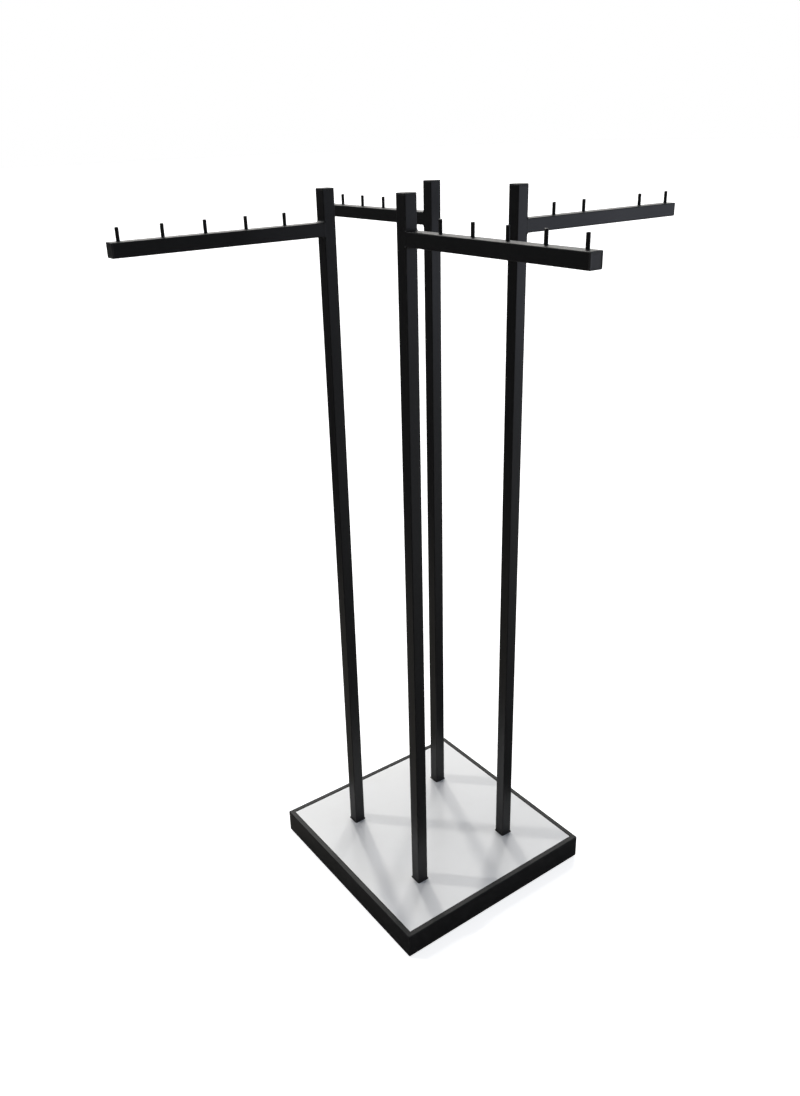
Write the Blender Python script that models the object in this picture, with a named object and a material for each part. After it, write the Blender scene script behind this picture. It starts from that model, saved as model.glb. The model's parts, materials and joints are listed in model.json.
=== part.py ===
"""Four way clothing rack: a square base that carries four uprights, each with one arm and a row of pegs.

Metres, +Z up. The origin is on the floor under the middle of the base. The four uprights are the same
part, turned by a quarter each, so the arms leave the square like a pinwheel: front (-Y), right (+X),
back (+Y) and left (-X).
"""

from math import cos, pi, radians, sin, sqrt

import bmesh
import bpy
from mathutils import Matrix, Vector

# Driving dimensions
BASE_WIDTH = 0.500  # outside of the square rim
TOTAL_HEIGHT = 1.521  # floor to the top of the uprights' plugs
ARM_TOP = 1.461  # floor to the top face of the arms
ARM_REACH = 0.410  # upright's face to the end of the arm
UPRIGHT_OFFSET = 0.126  # middle of the base to each upright's axis, along X and along Y
GAP = 0.0003  # between pieces that touch

# Square steel tube of the uprights, arms and rails
TUBE = 0.0254
TUBE_WALL = 0.0015
TUBE_RADIUS = 0.0019
BORE_RADIUS = TUBE_RADIUS - TUBE_WALL

# Rim: flat rectangular tube, standing on its edge
RIM_HEIGHT = 0.0550
RIM_WIDTH = 0.0120
RIM_WALL = 0.0015
RIM_RADIUS = 0.0020
RIM_LIFT = 0.003  # the levelling feet hold the rim this far off the floor
RIM_TOP = RIM_LIFT + RIM_HEIGHT
RIM_INSIDE = BASE_WIDTH / 2 - RIM_WIDTH

# Panel: laminated board that drops into the rim, its face a little below the rim's top
PANEL_THICKNESS = 0.012
PANEL_RECESS = 0.0008
PANEL_PLAY = 0.0005  # panel to rim, on each side
PANEL_TOP = RIM_TOP - PANEL_RECESS
PANEL_BOTTOM = PANEL_TOP - PANEL_THICKNESS
PANEL_HALF = RIM_INSIDE - PANEL_PLAY
PANEL_HOLE = TUBE + 0.0012  # across flats, a loose fit on the upright

# Rails: two tubes under the panel that carry the uprights
RAIL_TOP = PANEL_BOTTOM - GAP
RAIL_BOTTOM = RAIL_TOP - TUBE
RAIL_HALF = RIM_INSIDE - GAP

# Square plugs: moulded flange and hollow skirt
PLUG_FLANGE = 0.003
PLUG_CHAMFER = 0.0007
PLUG_SKIRT = 0.010
PLUG_WALL = 0.0018
SKIRT_WIDTH = TUBE - 2 * TUBE_WALL - 2 * GAP

# Pegs: round rod through the arm's top wall, standing on its bottom wall
PEG_RADIUS = 0.0032
PEG_HEIGHT = 0.023  # above the arm
PEG_ROUNDING = 0.0010
PEG_FIRST = 0.077  # upright's face to the first peg
PEG_PITCH = 0.079
PEG_PLACES = 5
EMPTY_PEG_PLACES = {("back", 3)}

# Fasteners: a flange bolt up into each upright, a long screw up through each rail into the panel
BOLT_RADIUS = 0.00485
BOLT_HEAD_FLATS = 0.015
BOLT_HEAD_HEIGHT = 0.0082
BOLT_FLANGE_RADIUS = 0.0105
BOLT_FLANGE_HEIGHT = 0.0022
BOLT_LENGTH = 0.055
BOLT_CHAMFER = 0.0007
INSERT_LENGTH = 0.030
SCREW_RADIUS = 0.0020
SCREW_HEAD_RADIUS = 0.0045
SCREW_HEAD_HEIGHT = 0.0026
SCREW_DEPTH = 0.008  # into the panel
CLEARANCE = 0.0006  # bolt or screw to its hole, on the radius
OVERRUN = 0.001  # of a cutter past the face it cuts

# Levelling feet: nylon pad on a threaded stem
PAD_RADIUS = 0.015
PAD_HEIGHT = 0.008
PAD_CHAMFER = 0.0012
NECK_RADIUS = 0.0076
STEM_RADIUS = 0.004
STEM_CHAMFER = 0.0008
STEM_TOP = 0.034
FOOT_INSET = 0.026  # foot's axis from the rim's inner faces
FOOT_PLACE = RIM_INSIDE - FOOT_INSET
PLATE_BOTTOM = 0.0115
PLATE_THICKNESS = 0.003
PLATE_LEG = 0.075
NUT_FLATS = 0.013
NUT_HEIGHT = 0.0065

SIDES = ("right", "back", "left", "front")  # anticlockwise from +X, a quarter turn apart
CORNERS = ("front_right", "back_right", "back_left", "front_left")
ROUND_STEPS = 16
HEXAGON_STEPS = 18
CORNER_STEPS = 3
SHARP_ANGLE = radians(40)  # edges sharper than this stay sharp under smooth shading


def clear_scene():
    """Remove every object that the file opened with."""
    for item in list(bpy.data.objects):
        bpy.data.objects.remove(item)


def material(name, color, roughness, metallic=0.0):
    """One Principled BSDF finish."""
    finish = bpy.data.materials.new(name)
    finish.use_nodes = True
    shader = finish.node_tree.nodes["Principled BSDF"]
    shader.inputs["Base Color"].default_value = (*color, 1.0)
    shader.inputs["Roughness"].default_value = roughness
    shader.inputs["Metallic"].default_value = metallic
    return finish


# Outlines: anticlockwise lists of (x, y)


def rounded_rectangle(width, depth, radius):
    """Four quarter arcs of the given radius, joined by straight sides."""
    points = []
    for corner, (sign_x, sign_y) in enumerate(((1, 1), (-1, 1), (-1, -1), (1, -1))):
        middle_x = sign_x * (width / 2 - radius)
        middle_y = sign_y * (depth / 2 - radius)
        for step in range(CORNER_STEPS + 1):
            angle = pi / 2 * (corner + step / CORNER_STEPS)
            points.append((middle_x + radius * cos(angle), middle_y + radius * sin(angle)))
    return points


def circle(radius, steps=ROUND_STEPS):
    return [(radius * cos(2 * pi * i / steps), radius * sin(2 * pi * i / steps)) for i in range(steps)]


def hexagon(flats, steps):
    """A hexagon as evenly turned points, so that it can be joined to a circle of as many points."""
    points = []
    for i in range(steps):
        angle = 2 * pi * i / steps
        off_flat = (angle + pi / 6) % (pi / 3) - pi / 6
        reach = flats / 2 / cos(off_flat)
        points.append((reach * cos(angle), reach * sin(angle)))
    return points


def at(outline, z):
    """An outline lifted to height z."""
    return [Vector((x, y, z)) for x, y in outline]


# Solids


def finished(shape):
    """The bmesh as a mesh, its faces pointing outwards."""
    bmesh.ops.recalc_face_normals(shape, faces=shape.faces[:])
    mesh = bpy.data.meshes.new("solid")
    shape.to_mesh(mesh)
    shape.free()
    return mesh


def skin(rings, wrap=False):
    """Join rings of equally many points by quads. Without wrap, the first and last ring are filled."""
    shape = bmesh.new()
    loops = [[shape.verts.new(point) for point in ring] for ring in rings]
    count = len(loops[0])
    pairs = list(zip(loops, loops[1:]))
    if wrap:
        pairs.append((loops[-1], loops[0]))
    for lower, upper in pairs:
        for i in range(count):
            j = (i + 1) % count
            shape.faces.new((lower[i], lower[j], upper[j], upper[i]))
    if not wrap:
        shape.faces.new(loops[0])
        shape.faces.new(loops[-1])
    return finished(shape)


def prism(outline, bottom, top):
    """The outline's face, extruded upwards."""
    shape = bmesh.new()
    face = shape.faces.new([shape.verts.new(point) for point in at(outline, bottom)])
    extrusion = bmesh.ops.extrude_face_region(shape, geom=[face])
    lifted = [item for item in extrusion["geom"] if isinstance(item, bmesh.types.BMVert)]
    bmesh.ops.translate(shape, vec=(0, 0, top - bottom), verts=lifted)
    return finished(shape)


def hollow_prism(outer, inner, bottom, top):
    """A tube between two outlines of equally many points."""
    return skin([at(outer, bottom), at(outer, top), at(inner, top), at(inner, bottom)], wrap=True)


def turned(profile, steps=ROUND_STEPS):
    """A solid of revolution from (radius, z) points, bottom to top, closed by flat ends."""
    return skin([at(circle(radius, steps), z) for radius, z in profile])


def placed(mesh, matrix):
    """A copy of the mesh, moved by the matrix."""
    copy = mesh.copy()
    copy.transform(matrix)
    return copy


def joined(meshes):
    """One mesh that holds several separate solids."""
    shape = bmesh.new()
    for mesh in meshes:
        shape.from_mesh(mesh)
    return finished(shape)


def combined(body, tool, operation):
    """The body mesh with the tool mesh's volume added or taken away."""
    pieces = [bpy.data.objects.new("solid", mesh) for mesh in (body, tool)]
    for piece in pieces:
        bpy.context.scene.collection.objects.link(piece)
    boolean = pieces[0].modifiers.new("boolean", "BOOLEAN")
    boolean.operation = operation
    boolean.object = pieces[1]
    graph = bpy.context.evaluated_depsgraph_get()
    result = bpy.data.meshes.new_from_object(pieces[0].evaluated_get(graph))
    for piece in pieces:
        bpy.data.objects.remove(piece)
    return result


def cut(body, tool):
    return combined(body, tool, "DIFFERENCE")


def drills(radius, places, bottom, top):
    """Upright round cutters at a list of (x, y) places."""
    tool = prism(circle(radius), bottom, top)
    return joined([placed(tool, Matrix.Translation((x, y, 0))) for x, y in places])


def quarter(turn):
    """A turn of so many quarters about the upright axis through the origin."""
    return Matrix.Rotation(radians(90 * turn), 4, "Z")


def node(name, mesh, finish, parent=None, matrix=None):
    """One named object with its own finish, smooth where it is round."""
    own = bpy.data.objects.new(name, mesh)
    bpy.context.scene.collection.objects.link(own)
    if parent is not None:
        own.parent = parent
    if matrix is not None:
        own.matrix_local = matrix
    if not mesh.materials:
        mesh.materials.append(finish)
    mesh.shade_smooth()
    mesh.set_sharp_from_angle(angle=SHARP_ANGLE)
    return own


def empty(name, matrix):
    own = bpy.data.objects.new(name, None)
    bpy.context.scene.collection.objects.link(own)
    own.matrix_world = matrix
    return own


# Pieces of the base


def rim_mesh():
    """The right-hand side of the rim: a flat tube along Y, its ends mitred at 45 degrees."""
    middle = Vector((BASE_WIDTH / 2 - RIM_WIDTH / 2, RIM_LIFT + RIM_HEIGHT / 2))
    mitre_gap = GAP / sqrt(2)
    rings = []
    inner = rounded_rectangle(
        RIM_WIDTH - 2 * RIM_WALL, RIM_HEIGHT - 2 * RIM_WALL, RIM_RADIUS - RIM_WALL
    )
    outer = rounded_rectangle(RIM_WIDTH, RIM_HEIGHT, RIM_RADIUS)
    for outline, end in ((outer, -1), (outer, 1), (inner, 1), (inner, -1)):
        ring = []
        for x, z in outline:
            across = middle.x + x
            ring.append(Vector((across, end * (across - mitre_gap), middle.y + z)))
        rings.append(ring)
    return skin(rings, wrap=True)


def rail_mesh():
    """A square tube along Y, drilled for its two upright bolts and the panel's screw."""
    middle = (RAIL_TOP + RAIL_BOTTOM) / 2
    lie_down = Matrix.Translation((0, 0, middle)) @ Matrix.Rotation(radians(90), 4, "X")
    tube = placed(tube_mesh(-RAIL_HALF, RAIL_HALF), lie_down)
    reach = (RAIL_BOTTOM - OVERRUN, RAIL_TOP + OVERRUN)
    for_bolts = drills(BOLT_RADIUS + CLEARANCE, [(0, UPRIGHT_OFFSET), (0, -UPRIGHT_OFFSET)], *reach)
    for_screw = drills(SCREW_RADIUS + CLEARANCE, [(0, 0)], *reach)
    return cut(tube, joined([for_bolts, for_screw]))


def panel_mesh():
    """The board, with a square hole for each upright and a blind pilot hole for each screw."""
    board = prism(rounded_rectangle(2 * PANEL_HALF, 2 * PANEL_HALF, GAP), PANEL_BOTTOM, PANEL_TOP)
    square = rounded_rectangle(PANEL_HOLE, PANEL_HOLE, TUBE_RADIUS)
    through = prism(square, PANEL_BOTTOM - OVERRUN, PANEL_TOP + OVERRUN)
    cutters = [
        placed(through, quarter(turn) @ Matrix.Translation((UPRIGHT_OFFSET, -UPRIGHT_OFFSET, 0)))
        for turn in range(4)
    ]
    pilot_top = PANEL_BOTTOM + SCREW_DEPTH + GAP
    screw_places = [(UPRIGHT_OFFSET, 0), (-UPRIGHT_OFFSET, 0)]
    cutters.append(drills(SCREW_RADIUS + GAP, screw_places, PANEL_BOTTOM - OVERRUN, pilot_top))
    return cut(board, joined(cutters))


def screw_mesh():
    """A pan-head wood screw, head under the rail, its tip in the panel."""
    seat = RAIL_BOTTOM - GAP
    tip = PANEL_BOTTOM + SCREW_DEPTH
    crown_radius = 0.6 * SCREW_HEAD_RADIUS
    tip_radius = 0.2 * SCREW_RADIUS
    return turned(
        [
            (crown_radius, seat - SCREW_HEAD_HEIGHT),
            (SCREW_HEAD_RADIUS, seat - SCREW_HEAD_HEIGHT / 2),
            (SCREW_HEAD_RADIUS, seat),
            (SCREW_RADIUS, seat),
            (SCREW_RADIUS, tip - 2 * SCREW_RADIUS),
            (tip_radius, tip),
        ],
        steps=12,
    )


def corner_plate_mesh():
    """The front right corner's three-cornered plate, with its weld nut, bored for the foot's stem."""
    corner = RIM_INSIDE - GAP
    outline = [(corner, -corner), (corner, -corner + PLATE_LEG), (corner - PLATE_LEG, -corner)]
    plate_top = PLATE_BOTTOM + PLATE_THICKNESS
    plate = prism(outline, PLATE_BOTTOM, plate_top)
    nut = prism(hexagon(NUT_FLATS, HEXAGON_STEPS), plate_top - OVERRUN, plate_top + NUT_HEIGHT)
    nut = placed(nut, Matrix.Translation((FOOT_PLACE, -FOOT_PLACE, 0)))
    stem_bore = drills(
        STEM_RADIUS + GAP,
        [(FOOT_PLACE, -FOOT_PLACE)],
        PLATE_BOTTOM - OVERRUN,
        plate_top + NUT_HEIGHT + OVERRUN,
    )
    return cut(combined(plate, nut, "UNION"), stem_bore)


def foot_mesh():
    """A levelling foot about its own axis: pad, neck and stem."""
    rim_top = PAD_HEIGHT / 2
    profile = [
        (PAD_RADIUS - PAD_CHAMFER, 0),
        (PAD_RADIUS, PAD_CHAMFER),
        (PAD_RADIUS, rim_top),
        (PAD_RADIUS - PAD_CHAMFER, rim_top + PAD_CHAMFER),
        (NECK_RADIUS, PAD_HEIGHT),
        (STEM_RADIUS, PAD_HEIGHT),
        (STEM_RADIUS, STEM_TOP - STEM_CHAMFER),
        (STEM_RADIUS - STEM_CHAMFER, STEM_TOP),
    ]
    return turned(profile, steps=20)


def bolt_mesh():
    """A hexagon flange bolt, head down, its shank up through the rail into the insert."""
    steps = HEXAGON_STEPS
    seat = RAIL_BOTTOM - GAP
    bottom = seat - BOLT_HEAD_HEIGHT
    flange_bottom = seat - BOLT_FLANGE_HEIGHT
    tip = seat + BOLT_LENGTH
    return skin(
        [
            at(hexagon(BOLT_HEAD_FLATS - 2 * BOLT_CHAMFER, steps), bottom),
            at(hexagon(BOLT_HEAD_FLATS, steps), bottom + BOLT_CHAMFER),
            at(hexagon(BOLT_HEAD_FLATS, steps), flange_bottom),
            at(circle(BOLT_FLANGE_RADIUS, steps), flange_bottom + BOLT_CHAMFER),
            at(circle(BOLT_FLANGE_RADIUS, steps), seat),
            at(circle(BOLT_RADIUS, steps), seat),
            at(circle(BOLT_RADIUS, steps), tip - BOLT_CHAMFER),
            at(circle(BOLT_RADIUS - BOLT_CHAMFER, steps), tip),
        ]
    )


# Pieces of an upright, about the upright's own axis, with the arm along +X


def tube_mesh(bottom, top):
    """Square tube along Z with rounded corners."""
    outer = rounded_rectangle(TUBE, TUBE, TUBE_RADIUS)
    inner = rounded_rectangle(TUBE - 2 * TUBE_WALL, TUBE - 2 * TUBE_WALL, BORE_RADIUS)
    return hollow_prism(outer, inner, bottom, top)


def plug_mesh():
    """A square end plug: its outer face at z = 0, its skirt down inside the tube."""
    flange = rounded_rectangle(TUBE, TUBE, TUBE_RADIUS)
    face_width = TUBE - 2 * PLUG_CHAMFER
    face = rounded_rectangle(face_width, face_width, TUBE_RADIUS - PLUG_CHAMFER)
    skirt = rounded_rectangle(SKIRT_WIDTH, SKIRT_WIDTH, BORE_RADIUS)
    hollow_width = SKIRT_WIDTH - 2 * PLUG_WALL
    hollow = rounded_rectangle(hollow_width, hollow_width, BORE_RADIUS / 2)
    skirt_end = -PLUG_FLANGE - PLUG_SKIRT
    return skin(
        [
            at(hollow, -PLUG_FLANGE),
            at(hollow, skirt_end),
            at(skirt, skirt_end),
            at(skirt, -PLUG_FLANGE),
            at(flange, -PLUG_FLANGE),
            at(flange, -PLUG_CHAMFER),
            at(face, 0),
        ]
    )


def insert_mesh():
    """The threaded insert in an upright's foot: a flange on the rail and a bored block in the tube."""
    steps = 4 * (CORNER_STEPS + 1)
    flange = rounded_rectangle(TUBE, TUBE, TUBE_RADIUS)
    block = rounded_rectangle(SKIRT_WIDTH, SKIRT_WIDTH, BORE_RADIUS)
    turn_to_corner = pi / steps
    bore_radius = BOLT_RADIUS + GAP
    bore = [
        (bore_radius * cos(angle), bore_radius * sin(angle))
        for angle in (turn_to_corner + 2 * pi * i / steps for i in range(steps))
    ]
    bottom = RAIL_TOP + GAP
    shoulder = bottom + PLUG_FLANGE
    top = shoulder + INSERT_LENGTH
    return skin(
        [
            at(bore, bottom),
            at(flange, bottom),
            at(flange, shoulder),
            at(block, shoulder),
            at(block, top),
            at(bore, top),
        ],
        wrap=True,
    )


def peg_places(side):
    """Distances from the upright's axis to each peg on that side's arm, by place."""
    return {
        place: TUBE / 2 + PEG_FIRST + (place - 1) * PEG_PITCH
        for place in range(1, PEG_PLACES + 1)
        if (side, place) not in EMPTY_PEG_PLACES
    }


def arm_mesh(side):
    """The arm: a square tube from the upright's face, drilled in its top wall for the pegs."""
    start = TUBE / 2 + GAP
    end = TUBE / 2 + ARM_REACH - PLUG_FLANGE - GAP
    along_x = Matrix.Translation((0, 0, ARM_TOP - TUBE / 2)) @ Matrix.Rotation(radians(90), 4, "Y")
    tube = placed(tube_mesh(start, end), along_x)
    places = [(distance, 0) for distance in peg_places(side).values()]
    holes = drills(PEG_RADIUS + GAP, places, ARM_TOP - 4 * TUBE_WALL, ARM_TOP + OVERRUN)
    return cut(tube, holes)


def peg_mesh():
    """A peg about its own axis, its end rounded over."""
    bottom = ARM_TOP - TUBE + TUBE_WALL + GAP
    top = ARM_TOP + PEG_HEIGHT
    rounding = [
        (PEG_RADIUS - PEG_ROUNDING * (1 - cos(angle)), top - PEG_ROUNDING * (1 - sin(angle)))
        for angle in (0, pi / 4, pi / 2)
    ]
    return turned([(PEG_RADIUS, bottom)] + rounding)


def build_base(finishes):
    """Rim, corner plates, rails and panel, with the screws that hold the panel down."""
    rim = rim_mesh()
    plate = corner_plate_mesh()
    for turn, (side, corner) in enumerate(zip(SIDES, CORNERS)):
        node(f"rim_{side}", rim, finishes["black_paint"], matrix=quarter(turn))
        node(f"corner_plate_{corner}", plate, finishes["black_paint"], matrix=quarter(turn))
    node("base_panel", panel_mesh(), finishes["white_laminate"])
    rail = rail_mesh()
    screw = screw_mesh()
    for side, sign in (("right", 1), ("left", -1)):
        place = Matrix.Translation((sign * UPRIGHT_OFFSET, 0, 0))
        node(f"cross_rail_{side}", rail, finishes["black_paint"], matrix=place)
        node(f"panel_screw_{side}", screw, finishes["zinc_steel"], matrix=place)


def build_feet(finishes):
    """The four levelling feet, each with its origin on its own thread's axis."""
    foot = foot_mesh()
    for turn, corner in enumerate(CORNERS):
        place = quarter(turn) @ Matrix.Translation((FOOT_PLACE, -FOOT_PLACE, 0))
        node(f"foot_{corner}", foot, finishes["black_nylon"], matrix=place)


def build_uprights(finishes):
    """The four uprights, each an empty on the upright's axis that carries its own pieces."""
    shoulder = RAIL_TOP + GAP + PLUG_FLANGE
    post = tube_mesh(shoulder + GAP, TOTAL_HEIGHT - PLUG_FLANGE - GAP)
    plug = plug_mesh()
    insert = insert_mesh()
    bolt = bolt_mesh()
    peg = peg_mesh()
    top_plug_place = Matrix.Translation((0, 0, TOTAL_HEIGHT))
    arm_plug_place = Matrix.Translation((TUBE / 2 + ARM_REACH, 0, ARM_TOP - TUBE / 2)) @ Matrix.Rotation(
        radians(90), 4, "Y"
    )
    for turn, side in enumerate(SIDES):
        axis = empty(
            f"upright_{side}_axis",
            quarter(turn) @ Matrix.Translation((UPRIGHT_OFFSET, -UPRIGHT_OFFSET, 0)),
        )
        node(f"upright_{side}", post, finishes["black_paint"], axis)
        node(f"upright_plug_{side}", plug, finishes["black_plastic"], axis, top_plug_place)
        node(f"upright_insert_{side}", insert, finishes["zinc_steel"], axis)
        node(f"upright_bolt_{side}", bolt, finishes["zinc_steel"], axis)
        node(f"arm_{side}", arm_mesh(side), finishes["black_paint"], axis)
        node(f"arm_plug_{side}", plug, finishes["black_plastic"], axis, arm_plug_place)
        for place, distance in peg_places(side).items():
            stand = Matrix.Translation((distance, 0, 0))
            node(f"peg_{side}_{place}", peg, finishes["black_paint"], axis, stand)


def main():
    clear_scene()
    finishes = {
        "black_paint": material("black_paint", (0.012, 0.012, 0.014), 0.42),
        "black_plastic": material("black_plastic", (0.014, 0.014, 0.015), 0.5),
        "black_nylon": material("black_nylon", (0.02, 0.02, 0.02), 0.6),
        "white_laminate": material("white_laminate", (0.78, 0.79, 0.80), 0.3),
        "zinc_steel": material("zinc_steel", (0.55, 0.56, 0.58), 0.35, 1.0),
    }
    build_base(finishes)
    build_feet(finishes)
    build_uprights(finishes)


main()
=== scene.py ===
"""Looks of the four way clothing rack: powder-coated tubes on a framed white panel, in a pale studio.

Every new piece is a surface worked out on a grid. The tubes, plugs, pegs and welds are worked out once,
for the rack's right-hand upright and arm, and then turned to the other three sides.
"""

import json
import math

import bpy
import numpy as np
from mathutils import Matrix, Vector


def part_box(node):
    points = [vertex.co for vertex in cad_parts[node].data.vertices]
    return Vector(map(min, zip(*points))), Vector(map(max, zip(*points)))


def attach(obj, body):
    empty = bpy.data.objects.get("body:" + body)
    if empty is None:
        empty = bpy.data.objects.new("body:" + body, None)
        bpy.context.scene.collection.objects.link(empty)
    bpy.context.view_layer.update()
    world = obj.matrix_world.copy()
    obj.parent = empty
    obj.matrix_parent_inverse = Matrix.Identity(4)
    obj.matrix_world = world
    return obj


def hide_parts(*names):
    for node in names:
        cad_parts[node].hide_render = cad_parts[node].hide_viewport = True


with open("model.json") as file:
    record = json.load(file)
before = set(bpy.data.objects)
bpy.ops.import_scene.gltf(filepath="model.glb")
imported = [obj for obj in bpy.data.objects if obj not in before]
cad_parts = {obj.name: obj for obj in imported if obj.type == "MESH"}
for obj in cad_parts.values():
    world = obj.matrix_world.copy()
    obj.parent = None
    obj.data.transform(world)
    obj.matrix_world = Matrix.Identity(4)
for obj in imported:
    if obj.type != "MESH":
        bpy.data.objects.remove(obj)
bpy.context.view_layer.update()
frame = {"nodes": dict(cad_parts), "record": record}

MM = 0.001
SIDES = ("right", "back", "left", "front")  # a quarter turn apart, anticlockwise from +X
CORNERS = ("front_right", "back_right", "back_left", "front_left")


# ---------------------------------------------------------------- sizes, from the frame


def box(node):
    """Lowest and highest corner of a node as arrays."""
    low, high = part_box(node)
    return np.array(low), np.array(high)


def middle(node):
    low, high = box(node)
    return (low + high) / 2


def footprint(node):
    """The middle of a node seen from above, at floor level."""
    return middle(node) * [1, 1, 0]


UPRIGHT_LOW, UPRIGHT_HIGH = box("upright_right")
ARM_LOW, ARM_HIGH = box("arm_right")
RIM_LOW, RIM_HIGH = box("rim_right")
RAIL_LOW, RAIL_HIGH = box("cross_rail_right")
PANEL_TOP = box("base_panel")[1][2]
TUBE = UPRIGHT_HIGH[0] - UPRIGHT_LOW[0]
HALF_TUBE = TUBE / 2
TUBE_WALL = 1.5 * MM
TUBE_RADIUS = 1.9 * MM
AXIS = footprint("upright_right")  # where the right-hand upright's middle line meets the floor
ARM_LINE = np.array([0, AXIS[1], (ARM_LOW[2] + ARM_HIGH[2]) / 2])  # the right-hand arm's, at x = 0
TOP_OF_PLUG = box("upright_plug_right")[1][2]
END_OF_ARM = box("arm_plug_right")[1][0]
GAP = 0.3 * MM  # between CAD pieces that touch
HARDWARE_STEPS = 48  # points round a bolt, screw or foot


# ---------------------------------------------------------------- grids


def finish_object(name, points, faces, body, slot, replaced=(), edge=None, sharp=40):
    """A mesh object from points and faces, turned right side out, riding on its body."""
    mesh = bpy.data.meshes.new(name)
    mesh.from_pydata(points.tolist(), [], faces)
    mesh.calc_loop_triangles()
    loops = np.empty(len(mesh.loop_triangles) * 3, np.int32)
    mesh.loop_triangles.foreach_get("vertices", loops)
    corners = points[loops.reshape(-1, 3)]
    volume = np.einsum("ij,ij->i", corners[:, 0], np.cross(corners[:, 1], corners[:, 2])).sum()
    if volume < 0:
        mesh.flip_normals()
    # The edge attribute marks where the coat lightens: coat wear and a painted highlight on rounded edges.
    if edge is not None:
        worn_and_highlit = mesh.attributes.new("edge", "FLOAT", "POINT")
        worn_and_highlit.data.foreach_set("value", np.asarray(edge, np.float32).ravel())
    mesh.shade_smooth()
    mesh.set_sharp_from_angle(angle=math.radians(sharp))
    mesh.update()
    piece = bpy.data.objects.new(name, mesh)
    bpy.context.scene.collection.objects.link(piece)
    mesh.materials.append(FINISHES[slot])
    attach(piece, body)
    if replaced:
        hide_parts(*replaced)
    return piece


def ring_faces(rows, columns, wrap_rows=False):
    """Quads of a grid whose rows are closed rings. Unless the rows wrap too, the two end rings are filled."""
    row = np.arange(rows if wrap_rows else rows - 1)[:, None]
    column = np.arange(columns)[None, :]
    here = row * columns + column
    along = row * columns + (column + 1) % columns
    above = (row + 1) % rows * columns
    quads = np.stack([here, along, above + (column + 1) % columns, above + column], -1)
    faces = quads.reshape(-1, 4).tolist()
    if not wrap_rows:
        faces.append(list(range(columns))[::-1])
        faces.append(list(range((rows - 1) * columns, rows * columns)))
    return faces


def rings(name, grid, body, slot, replaced=(), wrap_rows=False, edge=None, sharp=40):
    """The solid whose surface is a stack of rings: grid is rows by columns by 3."""
    rows, columns = grid.shape[:2]
    faces = ring_faces(rows, columns, wrap_rows)
    return finish_object(name, grid.reshape(-1, 3), faces, body, slot, replaced, edge, sharp)


def outline(width, depth, radius, steps=6, hold=0.25 * MM):
    """Points (x, y) round a rectangle with rounded corners, and how far each is on a corner, 0 to 1.

    Corner c is the arc centre + radius * (cos a, sin a), a running a quarter turn from c quarter turns.
    A holding point before and after each arc keeps the flats flat under smooth shading.
    """
    turn = np.linspace(0, 1, steps + 1)
    angle = (np.arange(4)[:, None] + turn) * math.pi / 2
    centre = np.array([[1, 1], [-1, 1], [-1, -1], [1, -1]]) * [width / 2 - radius, depth / 2 - radius]
    arc = centre[:, None] + radius * np.stack([np.cos(angle), np.sin(angle)], -1)
    start, end = angle[:, :1], angle[:, -1:]
    before = arc[:, :1] + hold * np.stack([np.sin(start), -np.cos(start)], -1)
    after = arc[:, -1:] + hold * np.stack([-np.sin(end), np.cos(end)], -1)
    points = np.concatenate([before, arc, after], 1).reshape(-1, 2)
    corner = np.tile(np.concatenate([[0], np.sin(turn * math.pi), [0]]), 4)
    return points, corner


def outward_of(section):
    """The outward direction at each point of an outline: its tangent, turned a quarter clockwise."""
    tangent = np.roll(section, -1, 0) - np.roll(section, 1, 0)
    tangent /= np.linalg.norm(tangent, axis=1)[:, None]
    return np.stack([tangent[:, 1], -tangent[:, 0]], -1)


def fillet(steps=5):
    """A quarter circle as pairs (back, up): 1 - cos a and sin a, both 0 to 1."""
    angle = np.linspace(0, math.pi / 2, steps + 1)
    return np.stack([1 - np.cos(angle), np.sin(angle)], -1)


def stacked(section_rows, heights):
    """Rows of (x, y) outlines, each lifted to its height: the grid of a stack of rings."""
    rows = np.array(section_rows)
    lift = np.broadcast_to(np.asarray(heights, float)[:, None, None], rows.shape[:2] + (1,))
    return np.concatenate([rows, lift], -1)


def laid_along_x(grid):
    """A stack along z laid down to run along x, its own x becoming -z, as an arm's tube lies."""
    return np.stack([grid[..., 2], grid[..., 1], -grid[..., 0]], -1)


def hollow_quarter(size):
    """A hollow quarter circle in a corner, as (out, along): size * (1 - sin a) and size * (1 - cos a)."""
    angle = np.linspace(0, math.pi / 2, 9)
    return (1 - np.sin(angle))[:, None] * size, (1 - np.cos(angle))[:, None] * size


def turned(grid, quarters):
    """The grid turned so many quarters about the rack's axis."""
    cos, sin = round(math.cos(quarters * math.pi / 2)), round(math.sin(quarters * math.pi / 2))
    x, y, z = np.moveaxis(grid, -1, 0)
    return np.stack([cos * x - sin * y, sin * x + cos * y, z], -1)


def ripple(phase, count, amount):
    """A gentle wandering: two sines of unlike count round a whole turn of the phase."""
    return amount * (np.sin(phase * count) + 0.6 * np.sin(phase * (count * 1.7) + 1.3)) / 1.6


# ---------------------------------------------------------------- tubes, plugs and pegs


def tube_grid(start, end, ends_round=0.35 * MM):
    """A square tube from start to end: the outer outline, rolled over at both ends, then the bore back."""
    outer, corner = outline(TUBE, TUBE, TUBE_RADIUS)
    inner, _ = outline(TUBE - 2 * TUBE_WALL, TUBE - 2 * TUBE_WALL, TUBE_RADIUS - TUBE_WALL)
    shrink = 1 - ends_round / HALF_TUBE
    rows = [inner, outer * shrink, outer, outer, outer, outer, outer * shrink, inner]
    hold = 1.0 * MM
    heights = [
        start, start, start + ends_round, start + hold,
        end - hold, end - ends_round, end, end,
    ]
    edge = np.array([corner * weight for weight in (0, 1, 1, 1, 1, 1, 1, 0)])
    return stacked(rows, heights), edge


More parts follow.
